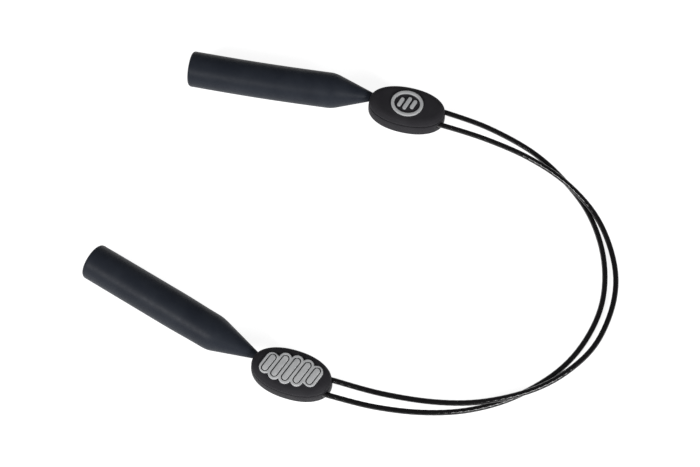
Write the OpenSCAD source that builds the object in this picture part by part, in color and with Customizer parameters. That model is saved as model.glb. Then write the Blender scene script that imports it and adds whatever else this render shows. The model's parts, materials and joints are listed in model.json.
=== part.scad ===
// Adjustable eyeglass retainer: two temple sleeves, two adjuster discs and a loop of two wires.
// It lies flat on a surface at its shortest setting. +X points to the back of the loop, +Z up.
// Right and left are the wearer's: the right end lies at +Y and the left end at -Y.

/* [Temple sleeves] */
// Outer diameter of a sleeve
sleeve_d = 10; // [9:0.1:11]
// Length of a sleeve from its mouth to its tip
sleeve_len = 51; // [48:0.5:56]
// Length of the cone at the wire end
cone_len = 11; // [9:0.5:12]
// Diameter of the blunt tip of the cone
tip_d = 2.4; // [2.2:0.1:2.6]
// Diameter of the socket that grips the temple arm
socket_d = 5; // [4:0.1:6]
// Depth of the socket
socket_depth = 33; // [26:0.5:33]
// Chamfer round the mouth
lip = 0.6; // [0.3:0.1:1]

/* [Wires] */
// Diameter of the coated wire
wire_d = 1.5; // [1.2:0.05:1.6]
// Distance between the two wires at a disc
wire_gap = 4.2; // [4:0.1:4.4]

/* [Adjuster discs] */
// Length of a disc along its wires
disc_len = 21.7; // [21:0.1:23]
// Width of a disc
disc_w = 12.2; // [12:0.1:13]
// Distance of a disc's middle from the middle between its two wires
disc_shift = 0.4; // [0:0.05:0.5]
// Height of a disc's top above the wires
top_h = 3.6; // [3.4:0.1:4]
// Depth of a disc's underside below the wires
base_h = 3.4; // [3:0.1:3.8]
// Rounding of a disc's lower edge
edge = 1.2; // [0.8:0.1:1.4]
// Height of the lower shell's rim, which the upper shell fits into, above the wires
rim_h = 1.2; // [1:0.05:1.4]
// Width of that rim
rim_w = 0.9; // [0.7:0.05:1]

/* [Inside the discs] */
// Outer diameter of the rubber bush that grips the sliding wire
bush_d = 3.6; // [3.2:0.1:3.8]
// Length of the bush
bush_len = 8; // [6:0.5:9]
// Outer diameter of the ferrule crimped on a wire end
crimp_d = 3; // [2.6:0.1:3.2]
// Length of the ferrule
crimp_len = 5; // [4:0.5:5.5]

/* [Badges] */
// Height that a badge stands above the disc
badge_rise = 0.4; // [0.2:0.1:0.6]
// Depth that a badge is let into the disc
badge_sink = 0.4; // [0.2:0.1:0.5]

/* [Hidden] */

$fn = 64;
wire_r = wire_d / 2;
axis_z = sleeve_d / 2;            // the sleeves rest on the surface, and the wires run on their axes
slide_clear = 0.05;               // radial play of the sliding wire in its bush
shell_clear = 0.08;               // radial play of the sliding wire in the shells
seat_clear = 0.03;                // play round a piece seated in a shell
part_gap = 0.3;                   // gap between the lead and the loop inside the exit hole
knee_r = wire_r + 0.02;           // ball that joins the two straight stretches of a lead
channel_y = wire_gap / 2;         // the sliding wire runs on this side of a disc's middle
anchor_y = -wire_gap / 2;         // the other wire ends on this side
exit_x = disc_len / 2 - 0.3;      // just outside the hole where a wire leaves the disc
loop_start_x = disc_len / 2 - 1;  // where the loop's wire meets the lead, inside the exit hole
tip_x = -disc_len / 2 - 0.35;     // the sleeve's tip, clear of the disc
anchor_x = 5.5;                   // middle of the anchor crimp
anchor_end_x = 4;                 // where an anchored wire ends, inside its crimp
post_r = 0.9;                     // locating posts between the shells
post_h = 1.6;
posts = [[-5.5, -1.4], [0, -2.8]];

// Each end of the retainer: [x, y of the disc's middle, heading of the disc, heading of the sleeve].
RIGHT = [37.9, 32.8, -13.5, -10.1];
LEFT = [7, -44.6, -18, -31.8];

// A point of a disc's own frame, at the height of the wires, in the part's frame.
function on_disc(side, x, y) = [
    side[0] + x * cos(side[2]) - y * sin(side[2]),
    side[1] + x * sin(side[2]) + y * cos(side[2]),
    axis_z];

// Free stretch of the wire that the right sleeve pulls, from the right disc round to the left.
right_bow = [
    [60.5, 28, 4.1], [72.5, 21.5, 2.3], [81, 13.5, 1], [87.5, 3, 0.8],
    [90.5, -9.5, 0.8], [89.5, -22, 0.8], [84.5, -33, 0.8], [76.5, -42, 0.8],
    [65, -49, 1], [53, -53, 2.4], [41, -54.2, 4], [28.5, -53, 4.9]];
// Free stretch of the wire that the left sleeve pulls, from the right disc round to the left.
left_bow = [
    [60, 24, 4.7], [72, 18.5, 3.7], [82, 11, 3], [89.5, 1, 2.2],
    [93.2, -11, 1], [92.5, -22, 0.8], [87.5, -33.5, 1.1], [80, -41.5, 1.9],
    [70, -47.5, 2.8], [57, -51, 3.4], [44.5, -51.5, 4.2], [30.5, -49.5, 4.9]];
right_route = concat(
    [on_disc(RIGHT, loop_start_x, channel_y), on_disc(RIGHT, exit_x, channel_y)],
    right_bow,
    [on_disc(LEFT, exit_x, anchor_y), on_disc(LEFT, anchor_end_x, anchor_y)]);
left_route = concat(
    [on_disc(RIGHT, anchor_end_x, anchor_y), on_disc(RIGHT, exit_x, anchor_y)],
    left_bow,
    [on_disc(LEFT, exit_x, channel_y), on_disc(LEFT, loop_start_x, channel_y)]);

// ---- Swept tube ----
tube_sides = 8;
tube_steps = 3;

function unit(v) = v / norm(v);
// Catmull-Rom point between p[i] and p[i + 1], with the first and last points doubled.
function at(p, i) = p[max(0, min(len(p) - 1, i))];
function spline(p, i, t) = 0.5 * (
    2 * at(p, i)
    + (at(p, i + 1) - at(p, i - 1)) * t
    + (2 * at(p, i - 1) - 5 * at(p, i) + 4 * at(p, i + 1) - at(p, i + 2)) * t * t
    + (3 * at(p, i) - at(p, i - 1) - 3 * at(p, i + 1) + at(p, i + 2)) * t * t * t);
// The straight end stretches, inside the discs, take no point in between.
function smooth(p) = concat(
    [p[0]],
    [for (i = [1 : len(p) - 3], k = [0 : tube_steps - 1]) spline(p, i, k / tube_steps)],
    [p[len(p) - 2], p[len(p) - 1]]);
function ring(c, along, r) =
    let (side = unit(cross(along, [0, 0, 1])), up = cross(side, along))
    [for (k = [0 : tube_sides - 1])
        c + r * (cos(360 * k / tube_sides) * side + sin(360 * k / tube_sides) * up)];

module tube(route, r) {
    c = smooth(route);
    n = len(c);
    m = tube_sides;
    points = [for (i = [0 : n - 1]) each ring(c[i], unit(at(c, i + 1) - at(c, i - 1)), r)];
    sides = [for (i = [0 : n - 2], k = [0 : m - 1])
        [i * m + k, i * m + (k + 1) % m, (i + 1) * m + (k + 1) % m, (i + 1) * m + k]];
    first = [for (k = [m - 1 : -1 : 0]) k];
    last = [for (k = [0 : m - 1]) (n - 1) * m + k];
    polyhedron(points = points, faces = concat(sides, [first, last]));
}

// ---- Frames ----
// A disc's own frame has the middle between its two wires at the origin, and shell_frame its outline.
module disc_frame(side) translate([side[0], side[1], axis_z]) rotate([0, 0, side[2]]) children();
module shell_frame(side) disc_frame(side) translate([0, disc_shift, 0]) children();
// A sleeve's own frame has its tip at the origin and its mouth at -X.
module sleeve_frame(side)
    translate(on_disc(side, tip_x, channel_y)) rotate([0, 0, side[3]]) children();
module rod_x(r, x0, x1, y = 0)
    translate([x0, y, 0]) rotate([0, 90, 0]) cylinder(r = r, h = x1 - x0);

// ---- Temple sleeve, its crimp and the wire's lead through the disc ----
shoulder_x = -cone_len;
crimp_x0 = -cone_len - crimp_len;

module temple_sleeve(side) color([0.12, 0.14, 0.17]) sleeve_frame(side) difference() {
    union() {
        rod_x(sleeve_d / 2, -sleeve_len + lip, shoulder_x);
        translate([-sleeve_len, 0, 0]) rotate([0, 90, 0])
            cylinder(r1 = sleeve_d / 2 - lip, r2 = sleeve_d / 2, h = lip);
        translate([shoulder_x, 0, 0]) rotate([0, 90, 0])
            cylinder(r1 = sleeve_d / 2, r2 = tip_d / 2, h = cone_len);
    }
    rod_x(socket_d / 2, -sleeve_len - 1, -sleeve_len + socket_depth);
    rod_x(crimp_d / 2 + seat_clear, -sleeve_len + socket_depth - 1, shoulder_x);
    rod_x(wire_r + seat_clear, shoulder_x - 1, 1);
}

module sleeve_crimp(side) color([0.62, 0.62, 0.64]) sleeve_frame(side) difference() {
    rod_x(crimp_d / 2, crimp_x0, shoulder_x - seat_clear);
    rod_x(wire_r + seat_clear, crimp_x0 + 1, shoulder_x + 1);
}

// A lead runs straight through its disc, turns at the sleeve's tip and runs straight to its crimp.
module wire_lead(side) color([0.06, 0.06, 0.07]) {
    disc_frame(side) rod_x(wire_r, tip_x, loop_start_x - part_gap, channel_y);
    sleeve_frame(side) {
        rod_x(wire_r, crimp_x0 + 1 + seat_clear, 0);
        rotate([0, 0, 90]) sphere(r = knee_r);
    }
}

// ---- Adjuster disc ----
// The outline is a little fuller than an ellipse.
fullness = 0.93;
function bulge(v) = sign(v) * pow(abs(v), fullness);
module oval(inset = 0) polygon([for (k = [0 : 47])
    [(disc_len / 2 - inset) * bulge(cos(7.5 * k)), (disc_w / 2 - inset) * bulge(sin(7.5 * k))]]);

// [inset, height above the wires] up the upper shell's rounded shoulder
shoulder = [[0.2, rim_h + 0.35], [0.42, 2.05], [0.75, 2.5], [1.2, 2.92], [1.65, 3.22], [2.2, 3.42],
    [3.4, top_h]];

module seats() {
    rod_x(wire_r + shell_clear, -disc_len, disc_len, channel_y);
    rod_x(bush_d / 2 + seat_clear, -bush_len / 2 - seat_clear, bush_len / 2 + seat_clear, channel_y);
    rod_x(wire_r + shell_clear, anchor_x, disc_len, anchor_y);
    rod_x(crimp_d / 2 + seat_clear, anchor_x - crimp_len / 2 - seat_clear,
        anchor_x + crimp_len / 2 + seat_clear, anchor_y);
}

// The two shells meet at the height of the wires; round the outside the lower one's rim laps the upper.
module disc_top(side) color([0.16, 0.16, 0.17]) difference() {
    shell_frame(side) union() {
        linear_extrude(rim_h + 0.1) oval(rim_w + seat_clear);
        translate([0, 0, rim_h + seat_clear]) hull() for (s = shoulder)
            linear_extrude(s[1] - rim_h - seat_clear) oval(s[0]);
    }
    disc_frame(side) {
        seats();
        for (p = posts) translate([p[0], p[1], -1]) cylinder(r = post_r + seat_clear, h = post_h + 1.2);
    }
    shell_frame(side) children();
}

module disc_base(side) color([0.17, 0.17, 0.18]) {
    difference() {
        shell_frame(side) {
            rotate([180, 0, 0]) hull() {
                linear_extrude(base_h - edge) oval();
                linear_extrude(base_h - edge * 0.35) oval(edge * 0.25);
                linear_extrude(base_h) oval(edge);
            }
            linear_extrude(rim_h) difference() {
                oval();
                oval(rim_w);
            }
        }
        disc_frame(side) seats();
    }
    disc_frame(side)
        for (p = posts) translate([p[0], p[1], -0.5]) cylinder(r = post_r, h = post_h + 0.5);
}

module grip_bush(side) color([0.25, 0.25, 0.26]) disc_frame(side) difference() {
    rod_x(bush_d / 2, -bush_len / 2, bush_len / 2, channel_y);
    rod_x(wire_r + slide_clear, -bush_len, bush_len, channel_y);
}

module anchor_crimp(side) color([0.62, 0.62, 0.64]) disc_frame(side) difference() {
    rod_x(crimp_d / 2, anchor_x - crimp_len / 2, anchor_x + crimp_len / 2, anchor_y);
    rod_x(wire_r + seat_clear, anchor_end_x - 0.1, anchor_x + crimp_len, anchor_y);
}

// ---- Badges: plain ornament, leaning bars in a ring and leaning bars on a scalloped plate ----
ring_a = 4.5;          // half length of the ring
ring_b = 3.9;          // half width of the ring
ring_band = 0.9;       // width of the ring's band
bar_lean = 18;         // lean of all the bars, in degrees
ring_bars = [1, 1.1, 1.8, 4.2];    // bars each side of the middle one, width, pitch, length
plate_bars = [2, 3.4, 3, 8.6];
plate_marks = [2, 1.5, 3, 6.7];
mark_groove = 0.3;     // width of the groove round a mark on the plate
mark_sink = 0.35;      // depth of that groove
mark_rise = 0.1;       // height of the marks above the plate

module ellipse(a, b) polygon([for (k = [0 : 47]) [a * cos(7.5 * k), b * sin(7.5 * k)]]);
module capsule(length, w) polygon([for (s = [1, -1], k = [0 : 8])
    s * [w / 2 * cos(22.5 * k), w / 2 * sin(22.5 * k) + (length - w) / 2]]);
// Leaning bars side by side, the outer ones shorter, each grown by play all round.
module bars(b, play) for (k = [-b[0] : b[0]])
    translate([k * b[2], 0]) rotate([0, 0, -bar_lean])
        capsule(b[3] * sqrt(1 - pow(0.7 * k / b[0], 2)) + 2 * play, b[1] + 2 * play);

module ring_outline(play = 0) difference() {
    ellipse(ring_a + play, ring_b + play);
    ellipse(ring_a - ring_band - play, ring_b - ring_band - play);
}
module ring_mark_outline(play = 0) bars(ring_bars, play);
module plate_outline(play = 0) bars(plate_bars, play);
module plate_mark_outline(play = 0) bars(plate_marks, play);

module badge_layer(z0, z1) translate([0, 0, z0]) linear_extrude(z1 - z0) children();
badge_z0 = top_h - badge_sink;
badge_z1 = top_h + badge_rise;

module right_badge_ring() color([0.7, 0.71, 0.72])
    shell_frame(RIGHT) badge_layer(badge_z0, badge_z1) ring_outline();
module right_badge_mark() color([0.66, 0.67, 0.68])
    shell_frame(RIGHT) badge_layer(badge_z0, badge_z1) ring_mark_outline();
module left_badge_plate() color([0.7, 0.71, 0.72]) shell_frame(LEFT) difference() {
    badge_layer(badge_z0, badge_z1) plate_outline();
    badge_layer(badge_z1 - mark_sink, badge_z1 + 1) plate_mark_outline(mark_groove);
}
module left_badge_mark() color([0.66, 0.67, 0.68])
    shell_frame(LEFT) badge_layer(badge_z1 - mark_sink, badge_z1 + mark_rise) plate_mark_outline();

// ---- The pieces of each end ----
module right_temple_sleeve() temple_sleeve(RIGHT);
module right_sleeve_crimp() sleeve_crimp(RIGHT);
module right_wire_lead() wire_lead(RIGHT);
module right_disc_top() disc_top(RIGHT) {
    badge_layer(badge_z0 - seat_clear, badge_z1) ring_outline(seat_clear);
    badge_layer(badge_z0 - seat_clear, badge_z1) ring_mark_outline(seat_clear);
}
module right_disc_base() disc_base(RIGHT);
module right_grip_bush() grip_bush(RIGHT);
module right_anchor_crimp() anchor_crimp(RIGHT);

module left_temple_sleeve() temple_sleeve(LEFT);
module left_sleeve_crimp() sleeve_crimp(LEFT);
module left_wire_lead() wire_lead(LEFT);
module left_disc_top() disc_top(LEFT)
    badge_layer(badge_z0 - seat_clear, badge_z1) plate_outline(seat_clear);
module left_disc_base() disc_base(LEFT);
module left_grip_bush() grip_bush(LEFT);
module left_anchor_crimp() anchor_crimp(LEFT);

// ---- The loop ----
module right_wire_loop() color([0.06, 0.06, 0.07]) tube(right_route, wire_r);
module left_wire_loop() color([0.06, 0.06, 0.07]) tube(left_route, wire_r);

right_temple_sleeve();
right_sleeve_crimp();
right_wire_lead();
right_disc_top();
right_disc_base();
right_grip_bush();
right_anchor_crimp();
right_badge_ring();
right_badge_mark();
left_temple_sleeve();
left_sleeve_crimp();
left_wire_lead();
left_disc_top();
left_disc_base();
left_grip_bush();
left_anchor_crimp();
left_badge_plate();
left_badge_mark();
right_wire_loop();
left_wire_loop();
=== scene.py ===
"""Looks of the adjustable eyeglass retainer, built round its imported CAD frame."""
import json
import math

import bmesh
import bpy
import numpy as np
from mathutils import Matrix, Vector


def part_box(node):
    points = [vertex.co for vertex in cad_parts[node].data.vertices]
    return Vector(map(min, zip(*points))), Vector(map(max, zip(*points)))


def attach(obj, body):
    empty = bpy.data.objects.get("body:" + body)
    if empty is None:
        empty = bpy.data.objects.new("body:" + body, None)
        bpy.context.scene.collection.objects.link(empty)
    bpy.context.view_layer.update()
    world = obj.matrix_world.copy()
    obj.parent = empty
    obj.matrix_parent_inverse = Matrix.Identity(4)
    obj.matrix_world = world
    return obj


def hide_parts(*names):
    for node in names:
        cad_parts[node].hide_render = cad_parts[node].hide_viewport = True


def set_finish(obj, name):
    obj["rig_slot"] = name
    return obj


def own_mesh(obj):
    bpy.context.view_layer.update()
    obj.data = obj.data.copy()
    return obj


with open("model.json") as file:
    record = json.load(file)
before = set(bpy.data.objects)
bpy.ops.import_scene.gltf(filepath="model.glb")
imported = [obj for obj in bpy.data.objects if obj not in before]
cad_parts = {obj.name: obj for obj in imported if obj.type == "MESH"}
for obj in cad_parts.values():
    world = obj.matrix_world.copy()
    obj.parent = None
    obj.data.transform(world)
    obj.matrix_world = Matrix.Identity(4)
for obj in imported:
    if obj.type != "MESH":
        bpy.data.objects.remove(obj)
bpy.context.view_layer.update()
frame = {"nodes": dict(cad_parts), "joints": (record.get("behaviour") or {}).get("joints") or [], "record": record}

MM = 0.001

# ---- Driving sizes, in millimetres, as in the CAD ----
SLEEVE_D = 10.0
SLEEVE_LEN = 51.0
CONE_LEN = 11.0
SOCKET_D = 5.0
SOCKET_DEPTH = 33.0
CRIMP_D = 3.0
CRIMP_LEN = 5.0
WIRE_D = 1.5
WIRE_GAP = 4.2
DISC_LEN = 21.7
DISC_W = 12.2
DISC_SHIFT = 0.4
FULLNESS = 0.93
TOP_H = 3.6
BASE_H = 3.4
RIM_H = 1.2
BADGE_RISE = 0.4
BADGE_SINK = 0.4
BUSH_D = 3.6
BUSH_LEN = 8.0
ANCHOR_X = 5.5

WIRE_R = WIRE_D / 2
CHANNEL_Y = WIRE_GAP / 2
ANCHOR_Y = -WIRE_GAP / 2
EXIT_X = DISC_LEN / 2 - 0.3
LOOP_START_X = DISC_LEN / 2 - 1
TIP_X = -DISC_LEN / 2 - 0.35
ANCHOR_END_X = 4.0
PART_GAP = 0.3
SEAT_CLEAR = 0.03        # play round a crimp or a bush in its seat
SLEEVE_CLEAR = 0.04      # play round the wire in a sleeve's tip
HOLE_CLEAR = 0.15        # play round a wire in a disc's hole

# ---- Camera: the photograph's viewing angle ----
AIM = Vector((22.2, -2.3, 0.0)) * MM
CAMERA_DISTANCE = 413.7 * MM
CAMERA_ELEVATION = math.radians(66)
SENSOR_W = 36.0
LENS = 78.2


def make_camera():
    """A camera above the near side, which looks at AIM."""
    data = bpy.data.cameras.new("camera")
    data.sensor_width = SENSOR_W
    data.lens = LENS
    data.clip_start = 0.01
    data.clip_end = 10
    obj = bpy.data.objects.new("camera", data)
    bpy.context.scene.collection.objects.link(obj)
    back = Vector((0, -math.cos(CAMERA_ELEVATION), math.sin(CAMERA_ELEVATION)))
    obj.location = AIM + back * CAMERA_DISTANCE
    obj.rotation_euler = (math.pi / 2 - CAMERA_ELEVATION, 0, 0)
    bpy.context.scene.camera = obj


make_camera()


# ---- The two ends, each with its disc's frame and its sleeve's frame ----
def named(rows, name):
    """The row of that name in a list of the frame's joints or the record's mounts."""
    return next(r for r in rows if r["name"] == name)


def frame_at(origin, x_axis):
    """Matrix from a local frame in millimetres to the row frame, with its X along x_axis and its Z up."""
    x = Vector(x_axis).normalized()
    z = Vector((0, 0, 1))
    turn = Matrix((x, z.cross(x), z)).transposed().to_4x4()
    return Matrix.Translation(origin) @ turn @ Matrix.Scale(MM, 4)


def end_frames(side):
    """Frames of the disc between its wires, of the disc's outline, and of the sleeve at its tip."""
    outward = Vector(named(frame["joints"], side + "_length_slide")["axis"])
    low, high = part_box(side + "_disc_top")
    middle = (Vector(low) + Vector(high)) / 2
    middle.z = low[2]
    shell = frame_at(middle, -outward)
    disc = shell @ Matrix.Translation((0, -DISC_SHIFT, 0))
    socket = named(frame["record"]["mounts"], side + "_temple_socket")
    tip = disc @ Vector((TIP_X, CHANNEL_Y, 0))
    return disc, shell, frame_at(tip, -Vector(socket["axis"]))


FRAMES = {side: end_frames(side) for side in ("right", "left")}


def on_disc(side, x, y):
    """A point of a disc's own frame, at the height of its wires, in metres."""
    return FRAMES[side][0] @ Vector((x, y, 0))


# ---- Wires: the routes of part.scad, in millimetres ----
RIGHT_BOW = [
    (60.5, 28, 4.1), (72.5, 21.5, 2.3), (81, 13.5, 1), (87.5, 3, 0.8),
    (90.5, -9.5, 0.8), (89.5, -22, 0.8), (84.5, -33, 0.8), (76.5, -42, 0.8),
    (65, -49, 1), (53, -53, 2.4), (41, -54.2, 4), (28.5, -53, 4.9)]
LEFT_BOW = [
    (60, 24, 4.7), (72, 18.5, 3.7), (82, 11, 3), (89.5, 1, 2.2),
    (93.2, -11, 1), (92.5, -22, 0.8), (87.5, -33.5, 1.1), (80, -41.5, 1.9),
    (70, -47.5, 2.8), (57, -51, 3.4), (44.5, -51.5, 4.2), (30.5, -49.5, 4.9)]
SPLINE_STEPS = 24        # from one point of a route to the next


def route(bow, right_start, right_y, left_end, left_y):
    """Points in metres from inside the right disc, round the bow, to inside the left disc."""
    return (
        [on_disc("right", right_start, right_y), on_disc("right", EXIT_X, right_y)]
        + [Vector(p) * MM for p in bow]
        + [on_disc("left", EXIT_X, left_y), on_disc("left", left_end, left_y)]
    )


def catmull(p, i, t):
    """The point at the share t of the way from p[i] to p[i + 1], with the end points doubled."""
    a, b, c, d = (p[min(max(k, 0), len(p) - 1)] for k in (i - 1, i, i + 1, i + 2))
    square = (2 * a - 5 * b + 4 * c - d) * t**2
    cube = (3 * b - a - 3 * c + d) * t**3
    return 0.5 * (2 * b + (c - a) * t + square + cube)


def smooth_line(points, spacing):
    """An evenly spaced line along the spline; its first and last stretches are straight."""
    dense = [points[0]]
    for i in range(1, len(points) - 2):
        dense += [catmull(points, i, k / SPLINE_STEPS) for k in range(SPLINE_STEPS)]
    dense = np.array([list(p) for p in dense + points[-2:]])
    along = np.r_[0, np.cumsum(np.linalg.norm(np.diff(dense, axis=0), axis=1))]
    steps = np.linspace(0, along[-1], int(along[-1] / spacing) + 1)
    return np.stack([np.interp(steps, along, dense[:, k]) for k in range(3)], axis=1)


# ---- Mesh helpers ----
def shade(mesh, sharp):
    """Smooth shading, with the edges over that angle, in degrees, left sharp."""
    mesh.polygons.foreach_set("use_smooth", [True] * len(mesh.polygons))
    mesh.set_sharp_from_angle(angle=math.radians(sharp))


def new_object(name, verts, faces, matrix=Matrix.Identity(4), sharp=40):
    """An object with that mesh, its normals turned outwards, in the scene."""
    mesh = bpy.data.meshes.new(name)
    mesh.from_pydata([tuple(matrix @ Vector(v)) for v in verts], [], faces)
    tidy = bmesh.new()
    tidy.from_mesh(mesh)
    bmesh.ops.recalc_face_normals(tidy, faces=tidy.faces)
    tidy.to_mesh(mesh)
    tidy.free()
    shade(mesh, sharp)
    obj = bpy.data.objects.new(name, mesh)
    bpy.context.scene.collection.objects.link(obj)
    return obj


def skin(rings):
    """Vertices and faces over rings of equal length, closed at both ends."""
    n = len(rings[0])
    verts = [tuple(p) for r in rings for p in r]
    faces = [
        (i * n + k, i * n + (k + 1) % n, (i + 1) * n + (k + 1) % n, (i + 1) * n + k)
        for i in range(len(rings) - 1)
        for k in range(n)
    ]
    faces.append(tuple(range(n - 1, -1, -1)))
    faces.append(tuple((len(rings) - 1) * n + k for k in range(n)))
    return verts, faces


def cut(obj, *cutters, sharp=40):
    """Takes the cutters out of obj and deletes them."""
    for c in cutters:
        m = obj.modifiers.new("cut", "BOOLEAN")
        m.operation = "DIFFERENCE"
        m.solver = "EXACT"
        m.object = c
    graph = bpy.context.evaluated_depsgraph_get()
    mesh = bpy.data.meshes.new_from_object(obj.evaluated_get(graph))
    obj.modifiers.clear()
    obj.data = mesh
    shade(mesh, sharp)
    for c in cutters:
        bpy.data.objects.remove(c, do_unlink=True)
    return obj


def arc(cx, cy, r, a0, a1, n):
    """n + 1 points on a circle, angles in degrees."""
    turns = [math.radians(a0 + (a1 - a0) * k / n) for k in range(n + 1)]
    return [(cx + r * math.cos(t), cy + r * math.sin(t)) for t in turns]


def lathe(profile, middle_y, sides=96):
    """Rings round the local X axis from (x, radius) points; middle_y(x) is each ring's centre."""
    turns = [2 * math.pi * k / sides for k in range(sides)]
    return [
        [(x, middle_y(x) + r * math.cos(t), r * math.sin(t)) for t in turns]
        for x, r in profile
    ]


def rod(name, r, x0, x1, y, matrix, sides=48):
    """A round bar along the local X axis, from x0 to x1."""
    rings = lathe([(x0, r), (x1, r)], lambda x: y, sides)
    return new_object(name, *skin(rings), matrix)


# ---- Stranded wire under a thin coat ----
STRANDS = 6
LAY = 11.6 * MM          # length over which a strand goes once round
VALLEY = 0.028 * MM      # depth of the valleys between strands, after coating
WIRE_SIDES = 48
WIRE_STEP = 0.32 * MM
LEAD_IN_CRIMP = 1.0      # how far a lead's end is from the crimp's far end, in millimetres
LEAD_BEND = 2.5          # how far past the sleeve's tip a lead is straight again, in millimetres


def wire_object(name, line):
    """A wire along the line, with the valleys between its strands showing through the coat."""
    tangent = np.gradient(line, axis=0)
    tangent /= np.linalg.norm(tangent, axis=1)[:, None]
    side = np.cross(tangent, [0, 0, 1])
    side /= np.linalg.norm(side, axis=1)[:, None]
    up = np.cross(side, tangent)
    along = np.r_[0, np.cumsum(np.linalg.norm(np.diff(line, axis=0), axis=1))]
    angle = np.linspace(0, 2 * math.pi, WIRE_SIDES, endpoint=False)
    rings = []
    for c, s, u, at in zip(line, side, up, along):
        lobe = np.abs(np.sin(STRANDS / 2 * (angle - 2 * math.pi * at / LAY)))
        r = WIRE_R * MM - VALLEY * (1 - lobe)
        rings.append(c + r[:, None] * (np.cos(angle)[:, None] * s + np.sin(angle)[:, None] * u))
    return new_object(name, *skin(rings), sharp=60)


def make_loop_wire(side, bow, right_start, right_y, left_end, left_y):
    """The wire between the discs, from inside the right one, round the bow, to inside the left one."""
    points = route(bow, right_start, right_y, left_end, left_y)
    line = smooth_line(points, WIRE_STEP)
    obj = wire_object(side + "_wire", line)
    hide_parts(side + "_wire_loop")
    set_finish(obj, "wire_coat")
    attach(obj, "loop")
    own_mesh(obj)
    return obj


def make_lead(side):
    """The stretch of wire from the crimp in the sleeve through the disc."""
    disc, _, sleeve = FRAMES[side]
    inside = sleeve @ Vector((-CONE_LEN - CRIMP_LEN + LEAD_IN_CRIMP, sideways(side, -CONE_LEN), 0))
    tip = sleeve @ Vector((0, sideways(side, 0), 0))
    points = [
        inside, tip, disc @ Vector((TIP_X + LEAD_BEND, CHANNEL_Y, 0)),
        disc @ Vector((LOOP_START_X - PART_GAP, CHANNEL_Y, 0))]
    obj = wire_object(side + "_lead", smooth_line(points, WIRE_STEP))
    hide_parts(side + "_wire_lead")
    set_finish(obj, "wire_coat")
    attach(obj, side + "_end")
    return obj


# ---- Temple sleeves ----
LIP_R = 0.9
REACH = 1.2              # how far a tip goes past the CAD's, before it is trimmed to touch its disc
TIP_GAP = 0.06
# Soft silicone: each sleeve is a little bent, and its cone starts and tapers a little differently.
SHOULDER = {"right": 10.0, "left": 11.7}
NECK_R = {"right": 1.1, "left": 0.86}
WAIST_R = {"right": 5.0, "left": 4.83}
WAIST_FROM, WAIST_TO = 25.0, 14.0      # the barrel narrows to its waist between these
BARREL_BEND = {"right": -0.3, "left": 0.0}
BARREL_SHIFT = {"right": 0.0, "left": -0.15}
TIP_SHIFT = {"right": 0.0, "left": 0.45}
EASE_BEFORE = 1.3        # the cone eases into the barrel from this far before the shoulder
EASE_LEN = 2.8
EASE_STEPS = 10
CONE_STEPS = 16
BARREL_STEPS = 30
MOUTH_R = 0.4            # rounding of the socket's mouth, and chamfer of its floor


def sideways(side, x):
    """How far a sleeve's middle line is off its straight axis at x, in millimetres."""
    along = min(max((-x - CONE_LEN) / (SLEEVE_LEN - CONE_LEN), 0), 1)
    near_tip = min(max(1 + x / CONE_LEN, 0), 1.1)
    off = BARREL_BEND[side] * math.sin(math.pi * along) + BARREL_SHIFT[side]
    return off + (TIP_SHIFT[side] - BARREL_SHIFT[side]) * near_tip


def sleeve_profile(side):
    """(x, radius) from the tip's hole, over the outside and back down the socket."""
    r = SLEEVE_D / 2
    waist, neck, shoulder = WAIST_R[side], NECK_R[side], SHOULDER[side]
    inner = SOCKET_D / 2
    seat = CRIMP_D / 2 + SEAT_CLEAR
    hole = WIRE_R + SLEEVE_CLEAR
    slope = (waist - neck) / (shoulder + REACH)
    points = [(REACH, hole), (REACH, neck)]
    cone = np.linspace(0.5, shoulder + REACH - EASE_BEFORE, CONE_STEPS)
    points += [(REACH - t, neck + slope * t) for t in cone]
    for k in range(1, EASE_STEPS + 1):
        done = k / EASE_STEPS
        x = EASE_BEFORE - shoulder - EASE_LEN * done
        points.append((x, waist - slope * EASE_BEFORE * (1 - done) ** 2))
    for t in np.linspace(shoulder + 1.9, SLEEVE_LEN - LIP_R - 0.5, BARREL_STEPS):
        full = min(max((t - WAIST_TO) / (WAIST_FROM - WAIST_TO), 0), 1)
        points.append((-t, waist + (r - waist) * full * full * (3 - 2 * full)))
    points += arc(-SLEEVE_LEN + LIP_R, r - LIP_R, LIP_R, 90, 180, 8)
    points += arc(-SLEEVE_LEN + MOUTH_R, inner + MOUTH_R, MOUTH_R, 180, 270, 5)
    floor_x = -SLEEVE_LEN + SOCKET_DEPTH
    points += [(floor_x - MOUTH_R, inner), (floor_x, inner - MOUTH_R), (floor_x, seat)]
    points += [(-CONE_LEN, seat), (-CONE_LEN, hole)]
    return points


def closed_faces(rings):
    """Faces over rings of equal length that close into one loop."""
    n, m = len(rings[0]), len(rings)
    return [
        (i * n + k, i * n + (k + 1) % n, (i + 1) % m * n + (k + 1) % n, (i + 1) % m * n + k)
        for i in range(m)
        for k in range(n)
    ]


def make_sleeve(side):
    """A sleeve, with its tip trimmed to the outline of its disc."""
    _, shell, sleeve = FRAMES[side]
    rings = lathe(sleeve_profile(side), lambda x: sideways(side, x))
    verts = [p for ring in rings for p in ring]
    obj = new_object(side + "_sleeve", verts, closed_faces(rings), sleeve)
    disc_room = new_object("room", *skin([oval_ring(-TIP_GAP, z) for z in (-5, 5)]), shell)
    cut(obj, disc_room)
    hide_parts(side + "_temple_sleeve")
    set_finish(obj, "silicone")
    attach(obj, side + "_end")
    return obj


# ---- Adjuster discs ----
EDGE_R = 1.4             # rounding of the lower edge
GROOVE = 0.42            # height of the groove at the seam
GROOVE_DEPTH = 0.75
CAP_INSET = 0.2          # the upper shell is this much smaller all round
OVAL_SIDES = 160
CORE = 2.2               # inset at which the offset rings give way to shrinking ones
CORE_Z = 3.42            # height of the upper shell there
SEAM_GAP = 0.02          # the shells' flat faces are this far apart


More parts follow.
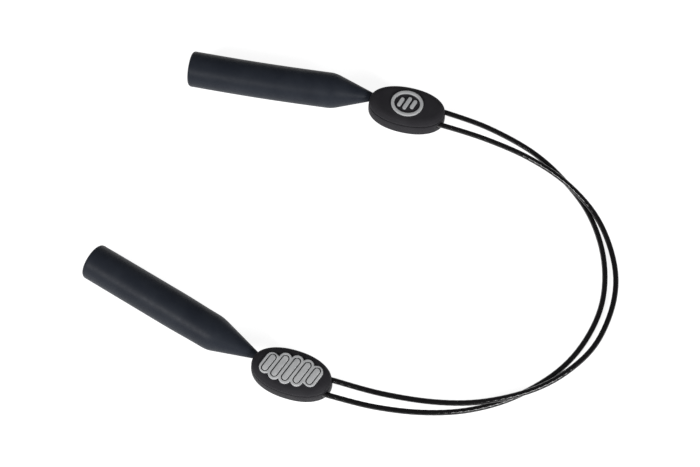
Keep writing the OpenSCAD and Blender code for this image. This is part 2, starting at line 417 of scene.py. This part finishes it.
def bulge(v):
    """A cosine or sine, made a little fuller, so that the oval is too."""
    return math.copysign(abs(v) ** FULLNESS, v)


def oval_points():
    """The disc's outline and its outward normals."""
    turns = [2 * math.pi * k / OVAL_SIDES for k in range(OVAL_SIDES)]
    p = np.array([(DISC_LEN / 2 * bulge(math.cos(t)), DISC_W / 2 * bulge(math.sin(t))) for t in turns])
    tangent = np.roll(p, -1, axis=0) - np.roll(p, 1, axis=0)
    tangent /= np.linalg.norm(tangent, axis=1)[:, None]
    return p, np.stack([tangent[:, 1], -tangent[:, 0]], axis=1)


OVAL, OVAL_NORMALS = oval_points()


def oval_ring(inset, z, shrink=1.0):
    """The outline moved in by the inset and then shrunk, at that height."""
    return [(x, y, z) for x, y in (OVAL - inset * OVAL_NORMALS) * shrink]


def shell_rings(profile, z_flat, z_edge, z_top):
    """Flat inner face, then the (inset, z) profile, then a low dome from z_edge to z_top."""
    flat = [oval_ring(CORE, z_flat, s) for s in (0.02, 0.3, 0.6, 0.85, 1.0)]
    dome = []
    for s in (1.0, 0.93, 0.84, 0.72, 0.58, 0.42, 0.25, 0.1, 0.02):
        dome.append(oval_ring(CORE, z_edge + (z_top - z_edge) * (1 - s * s), s))
    return flat + [oval_ring(i, z) for i, z in profile] + dome


def channel_cutters(disc):
    """The holes for the wires and the seats of the bush and the anchor crimp."""
    hole = WIRE_R + HOLE_CLEAR
    bush = BUSH_LEN / 2 + SEAT_CLEAR
    crimp = CRIMP_LEN / 2 + SEAT_CLEAR
    return [
        rod("cut_a", hole, -DISC_LEN, DISC_LEN, CHANNEL_Y, disc),
        rod("cut_b", BUSH_D / 2 + SEAT_CLEAR, -bush, bush, CHANNEL_Y, disc),
        rod("cut_c", hole, ANCHOR_X, DISC_LEN, ANCHOR_Y, disc),
        rod("cut_d", CRIMP_D / 2 + SEAT_CLEAR, ANCHOR_X - crimp, ANCHOR_X + crimp, ANCHOR_Y, disc),
    ]


def upper_profile():
    """(inset, z) of the upper shell: up the groove's back wall, out to the cap and over its shoulder."""
    seam = RIM_H + GROOVE
    shoulder_z = seam + 0.2
    points = [(GROOVE_DEPTH, RIM_H + SEAM_GAP), (GROOVE_DEPTH, seam)]
    points += [(CAP_INSET + 0.12, seam), (CAP_INSET, seam + 0.1)]
    for a in (math.radians(6 * k) for k in range(15)):
        inset = CORE - (CORE - CAP_INSET) * math.cos(a)
        points.append((inset, shoulder_z + (CORE_Z - shoulder_z) * math.sin(a)))
    return points


def lower_profile():
    """(inset, z) of the lower shell: its lip, a wall that leans out downwards, and its rounded edge."""
    points = [(GROOVE_DEPTH, RIM_H), (0.3, RIM_H), (0.19, RIM_H - 0.04), (0.14, RIM_H - 0.15)]
    points += [(0.08, 0.5), (0.03, -0.2), (0.0, -1.0), (0.0, -1.6)]
    points += [(EDGE_R - x, z) for x, z in arc(0, EDGE_R - BASE_H, EDGE_R, 0, -80, 9)]
    return points


def make_shells(side):
    """The upper and the lower shell, with the seam's groove between them."""
    disc, shell, _ = FRAMES[side]
    top_rings = shell_rings(upper_profile(), RIM_H + SEAM_GAP, CORE_Z, TOP_H)
    base_rings = shell_rings(lower_profile(), RIM_H, -BASE_H, -BASE_H)
    upper = new_object(side + "_shell_top", *skin(top_rings), shell)
    lower = new_object(side + "_shell_base", *skin(base_rings), shell)
    for obj, node in ((upper, "_disc_top"), (lower, "_disc_base")):
        cut(obj, *channel_cutters(disc))
        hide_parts(side + node)
        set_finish(obj, "disc_shell")
        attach(obj, "loop")
    return upper, lower


# The cords come first, and then the rest of the object.
wires = [
    make_loop_wire("right", RIGHT_BOW, LOOP_START_X, CHANNEL_Y, ANCHOR_END_X, ANCHOR_Y),
    make_loop_wire("left", LEFT_BOW, ANCHOR_END_X, ANCHOR_Y, LOOP_START_X, CHANNEL_Y),
    make_lead("right"),
    make_lead("left"),
]
sleeves = [make_sleeve(side) for side in ("right", "left")]
shells = [shell for side in ("right", "left") for shell in make_shells(side)]

# ---- Badges ----
RING_A, RING_B, RING_BAND = 4.5, 3.9, 0.9
RING_EDGE, MARK_EDGE, PLATE_EDGE = 0.18, 0.15, 0.2      # rounding of the upper edges
BADGE_SHARP = 50                    # edges over this angle stay sharp
BAR_LEAN = 18
BAR_TAPER = 0.7                     # 0 keeps the outer bars as long as the middle one
RING_BARS = (1, 1.1, 1.8, 4.2)      # bars each side of the middle one, width, pitch, length
PLATE_BARS = (2, 3.4, 3.0, 8.6)
PLATE_MARKS = (2, 1.5, 3.0, 6.7)
MARK_GROOVE = 0.3
MARK_RISE = 0.1
BADGE_Z0 = TOP_H - BADGE_SINK
BADGE_Z1 = TOP_H + BADGE_RISE


def capsule(length, width, n=12):
    """A bar's outline along the local Y axis, with round ends."""
    half = (length - width) / 2
    return arc(0, half, width / 2, 0, 180, n) + arc(0, -half, width / 2, 180, 360, n)


def bar_outlines(bars, grow=0.0):
    """Outlines of a row of leaning bars, each grown by that much all round."""
    count, width, pitch, length = bars
    c = math.cos(math.radians(-BAR_LEAN))
    s = math.sin(math.radians(-BAR_LEAN))
    outlines = []
    for k in range(-count, count + 1):
        long = length * math.sqrt(1 - (BAR_TAPER * k / count) ** 2) + 2 * grow
        bar = capsule(long, width + 2 * grow)
        outlines.append([(k * pitch + x * c - y * s, x * s + y * c) for x, y in bar])
    return outlines


def around(outlines, n=360):
    """The outline round overlapping shapes: the furthest crossing of each ray from the origin."""
    result = []
    for k in range(n):
        t = 2 * math.pi * k / n
        dx, dy = math.cos(t), math.sin(t)
        best = 0.0
        for pts in outlines:
            for (x0, y0), (x1, y1) in zip(pts, pts[1:] + pts[:1]):
                s0, s1 = dx * y0 - dy * x0, dx * y1 - dy * x1
                if s0 * s1 <= 0 and s0 != s1:
                    f = s0 / (s0 - s1)
                    best = max(best, dx * (x0 + f * (x1 - x0)) + dy * (y0 + f * (y1 - y0)))
        result.append((best * dx, best * dy))
    return result


def inset_outline(points, inset):
    """Each point moved inwards along the outline's normal there."""
    p = np.array(points)
    tangent = np.roll(p, -1, axis=0) - np.roll(p, 1, axis=0)
    tangent /= np.linalg.norm(tangent, axis=1)[:, None]
    return p + inset * np.stack([-tangent[:, 1], tangent[:, 0]], axis=1)


def raised(name, outline, z0, z1, edge, matrix):
    """A plate with that outline and a rounded upper edge."""
    rings = [[(x, y, z0) for x, y in outline]]
    for k in range(5):
        a = math.radians(90 * k / 4)
        ring = inset_outline(outline, edge * (1 - math.cos(a)))
        rings.append([(x, y, z1 - edge + edge * math.sin(a)) for x, y in ring])
    return new_object(name, *skin(rings), matrix, sharp=BADGE_SHARP)


def ellipse(a, b, n=120):
    """n points round an ellipse with those half axes."""
    return [(a * math.cos(2 * math.pi * k / n), b * math.sin(2 * math.pi * k / n)) for k in range(n)]


def joined(name, objects):
    """One object of several, each still a separate solid in it."""
    mesh = bmesh.new()
    for o in objects:
        mesh.from_mesh(o.data)
    result = objects[0]
    mesh.to_mesh(result.data)
    mesh.free()
    result.name = name
    shade(result.data, BADGE_SHARP)
    for o in objects[1:]:
        bpy.data.objects.remove(o, do_unlink=True)
    return result


def make_ring():
    """The oval ring of the right badge, with both upper edges rounded."""
    section = [(0.0, BADGE_Z0)]
    for a in (math.radians(30 * k) for k in range(4)):
        inset = RING_EDGE * (1 - math.cos(a))
        section.append((inset, BADGE_Z1 - RING_EDGE + RING_EDGE * math.sin(a)))
    outer = [(RING_A - i, RING_B - i, z) for i, z in section]
    inner = [(RING_A - RING_BAND + i, RING_B - RING_BAND + i, z) for i, z in reversed(section)]
    rings = [[(x, y, z) for x, y in ellipse(a, b)] for a, b, z in outer + inner]
    verts = [p for ring in rings for p in ring]
    shell = FRAMES["right"][1]
    return new_object("right_ring", verts, closed_faces(rings), shell, sharp=BADGE_SHARP)


def make_bars(name, bars, z1, side):
    """The bars of a badge, as one object."""
    shell = FRAMES[side][1]
    return joined(name, [
        raised(f"{name}_{k}", outline, BADGE_Z0, z1, MARK_EDGE, shell)
        for k, outline in enumerate(bar_outlines(bars))])


def make_plate():
    """The scalloped plate of the left badge, with slots for its bars."""
    shell = FRAMES["left"][1]
    outline = around(bar_outlines(PLATE_BARS))
    plate = raised("left_plate", outline, BADGE_Z0, BADGE_Z1, PLATE_EDGE, shell)
    cutters = []
    for slot in bar_outlines(PLATE_MARKS, MARK_GROOVE):
        rings = [[(x, y, z) for x, y in slot] for z in (BADGE_Z0 - 1, BADGE_Z1 + 1)]
        cutters.append(new_object("slot", *skin(rings), shell))
    return cut(plate, *cutters, sharp=BADGE_SHARP)


badges = {
    "right_badge_ring": make_ring(),
    "right_badge_mark": make_bars("right_bars", RING_BARS, BADGE_Z1, "right"),
    "left_badge_plate": make_plate(),
    "left_badge_mark": make_bars("left_bars", PLATE_MARKS, BADGE_Z1 + MARK_RISE, "left"),
}
for node, obj in badges.items():
    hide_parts(node)
    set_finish(obj, "badge")
    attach(obj, "loop")


# ---- Materials ----
class Nodes:
    """A material's node tree, with short ways to add and join nodes."""

    def __init__(self, name):
        self.material = bpy.data.materials.new(name)
        self.material.use_nodes = True
        self.tree = self.material.node_tree
        self.shader = self.tree.nodes["Principled BSDF"]
        self.where = self.tree.nodes.new("ShaderNodeTexCoord").outputs["Object"]

    def noise(self, scale, detail=4.0, roughness=0.6):
        node = self.tree.nodes.new("ShaderNodeTexNoise")
        node.inputs["Scale"].default_value = scale
        node.inputs["Detail"].default_value = detail
        node.inputs["Roughness"].default_value = roughness
        self.tree.links.new(self.where, node.inputs["Vector"])
        return node.outputs["Fac"]

    def spread(self, value, low, high, out_low, out_high):
        """The value, with low to high mapped to out_low to out_high."""
        node = self.tree.nodes.new("ShaderNodeMapRange")
        limits = {"From Min": low, "From Max": high, "To Min": out_low, "To Max": out_high}
        for name, v in limits.items():
            node.inputs[name].default_value = v
        self.tree.links.new(value, node.inputs["Value"])
        return node.outputs["Result"]

    def mix(self, factor, a, b):
        node = self.tree.nodes.new("ShaderNodeMix")
        node.data_type = "RGBA"
        node.inputs["A"].default_value = (*a, 1)
        node.inputs["B"].default_value = (*b, 1)
        self.tree.links.new(factor, node.inputs["Factor"])
        return node.outputs["Result"]

    def bump(self, height, strength, distance):
        node = self.tree.nodes.new("ShaderNodeBump")
        node.inputs["Strength"].default_value = strength
        node.inputs["Distance"].default_value = distance
        self.tree.links.new(height, node.inputs["Height"])
        self.tree.links.new(node.outputs["Normal"], self.shader.inputs["Normal"])

    def link(self, value, socket):
        self.tree.links.new(value, self.shader.inputs[socket])

    def fix(self, values):
        """Sets the shader's sockets that stay constant."""
        for name, value in values.items():
            self.shader.inputs[name].default_value = value


def silicone():
    """Matte blue-black silicone of the sleeves."""
    n = Nodes("silicone")
    patches = n.spread(n.noise(160, 3), 0.35, 0.65, 0.0, 1.0)
    n.link(n.mix(patches, (0.0165, 0.0198, 0.028), (0.0222, 0.026, 0.035)), "Base Color")
    n.link(n.spread(n.noise(900, 5), 0.3, 0.7, 0.4, 0.52), "Roughness")
    n.fix({"Specular IOR Level": 0.13})
    n.bump(n.noise(7000, 3), 0.12, 0.00005)
    return n.material


def soft_touch():
    """Soft-touch black plastic of the discs."""
    n = Nodes("soft_touch")
    patches = n.spread(n.noise(220, 4), 0.35, 0.65, 0.0, 1.0)
    n.link(n.mix(patches, (0.0255, 0.0245, 0.028), (0.0305, 0.0295, 0.033)), "Base Color")
    n.link(n.spread(n.noise(1500, 4), 0.3, 0.7, 0.46, 0.58), "Roughness")
    n.fix({"Specular IOR Level": 0.04})
    n.bump(n.noise(9000, 3), 0.2, 0.00004)
    return n.material


def badge_grey():
    """Satin silver-grey plastic of the badges."""
    n = Nodes("badge_grey")
    patches = n.spread(n.noise(500, 4), 0.35, 0.65, 0.0, 1.0)
    n.link(n.mix(patches, (0.45, 0.455, 0.465), (0.54, 0.545, 0.55)), "Base Color")
    n.link(n.spread(n.noise(2500, 4), 0.3, 0.7, 0.38, 0.52), "Roughness")
    n.bump(n.noise(9000, 3), 0.2, 0.00003)
    return n.material


def wire_coat():
    """Black nylon under a clear coat."""
    n = Nodes("wire_coat")
    patches = n.spread(n.noise(700, 3), 0.35, 0.65, 0.0, 1.0)
    n.link(n.mix(patches, (0.003, 0.0026, 0.0032), (0.0055, 0.0048, 0.0055)), "Base Color")
    n.link(n.spread(n.noise(3000, 3), 0.3, 0.7, 0.16, 0.24), "Roughness")
    n.fix({"Specular IOR Level": 0.1})
    n.fix({"Coat Weight": 0.35, "Coat Roughness": 0.12, "Coat IOR": 2.0})
    n.bump(n.noise(6000, 2), 0.05, 0.00002)
    return n.material


def crimp_steel():
    """Bright steel of the crimps."""
    n = Nodes("crimp_steel")
    n.link(n.mix(n.noise(900, 4), (0.5, 0.5, 0.51), (0.64, 0.64, 0.65)), "Base Color")
    n.link(n.spread(n.noise(4000, 4), 0.3, 0.7, 0.25, 0.45), "Roughness")
    n.fix({"Metallic": 1.0})
    n.bump(n.noise(5000, 3), 0.2, 0.00003)
    return n.material


def bush_rubber():
    """Black rubber of the grip bushes."""
    n = Nodes("bush_rubber")
    n.link(n.mix(n.noise(800, 4), (0.03, 0.03, 0.03), (0.05, 0.05, 0.052)), "Base Color")
    n.link(n.spread(n.noise(3000, 4), 0.3, 0.7, 0.6, 0.8), "Roughness")
    n.bump(n.noise(6000, 3), 0.3, 0.00005)
    return n.material


def dress(obj, material):
    """Gives the object that material and no other."""
    obj.data.materials.clear()
    obj.data.materials.append(material)


materials = {
    "silicone": silicone(), "disc_shell": soft_touch(), "badge": badge_grey(),
    "wire_coat": wire_coat(), "crimp_steel": crimp_steel(), "bush_rubber": bush_rubber()}
for obj in wires + sleeves + shells + list(badges.values()):
    dress(obj, materials[obj["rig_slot"]])
for row in frame["record"]["subparts"]:
    node = frame["nodes"][row["node"]]
    for slot in node.material_slots:
        slot.material = materials[row["material_slot"]]


# ---- Floor and lights, in metres and watts ----
FLOOR_REACH = 3.0
FLOOR_Z = -0.00002       # just under the object, so that the two don't share a plane
FLOOR_GLOW = 0.88        # keeps the floor as white as the photograph's
WORLD_LIGHT = 0.12


def make_floor():
    """A white floor, wide enough to fill the picture."""
    reach = FLOOR_REACH
    mesh = bpy.data.meshes.new("floor")
    corners = [(-reach, -reach), (reach, -reach), (reach, reach), (-reach, reach)]
    mesh.from_pydata([(x, y, FLOOR_Z) for x, y in corners], [], [(0, 1, 2, 3)])
    floor = bpy.data.objects.new("floor", mesh)
    bpy.context.scene.collection.objects.link(floor)
    n = Nodes("floor_white")
    n.link(n.mix(n.noise(3), (0.49, 0.49, 0.49), (0.51, 0.51, 0.51)), "Base Color")
    n.fix({
        "Roughness": 0.9, "Specular IOR Level": 0.1,
        "Emission Color": (1, 1, 1, 1), "Emission Strength": FLOOR_GLOW})
    dress(floor, n.material)


def softbox(name, azimuth, elevation, distance, width, height, power):
    """A rectangular light that faces the object; azimuth 0 is the camera's side."""
    data = bpy.data.lights.new(name, "AREA")
    data.shape = "RECTANGLE"
    data.size = width
    data.size_y = height
    data.energy = power
    obj = bpy.data.objects.new(name, data)
    bpy.context.scene.collection.objects.link(obj)
    az, el = math.radians(azimuth), math.radians(elevation)
    way = Vector((math.sin(az) * math.cos(el), -math.cos(az) * math.cos(el), math.sin(el)))
    obj.location = AIM + way * distance
    obj.rotation_euler = way.to_track_quat("Z", "Y").to_euler()


def make_lights():
    """A soft box on each side of the camera, and a dim white world."""
    size = {"distance": 0.8, "width": 0.42, "height": 0.2}
    softbox("left_box", azimuth=-45, elevation=34, power=3.8, **size)
    softbox("right_box", azimuth=46, elevation=30, power=3.5, **size)
    world = bpy.data.worlds.new("studio")
    world.use_nodes = True
    background = world.node_tree.nodes["Background"]
    background.inputs["Color"].default_value = (0.98, 0.99, 1.0, 1)
    background.inputs["Strength"].default_value = WORLD_LIGHT
    bpy.context.scene.world = world
    bpy.context.scene.view_settings.view_transform = "Standard"


make_floor()
make_lights()
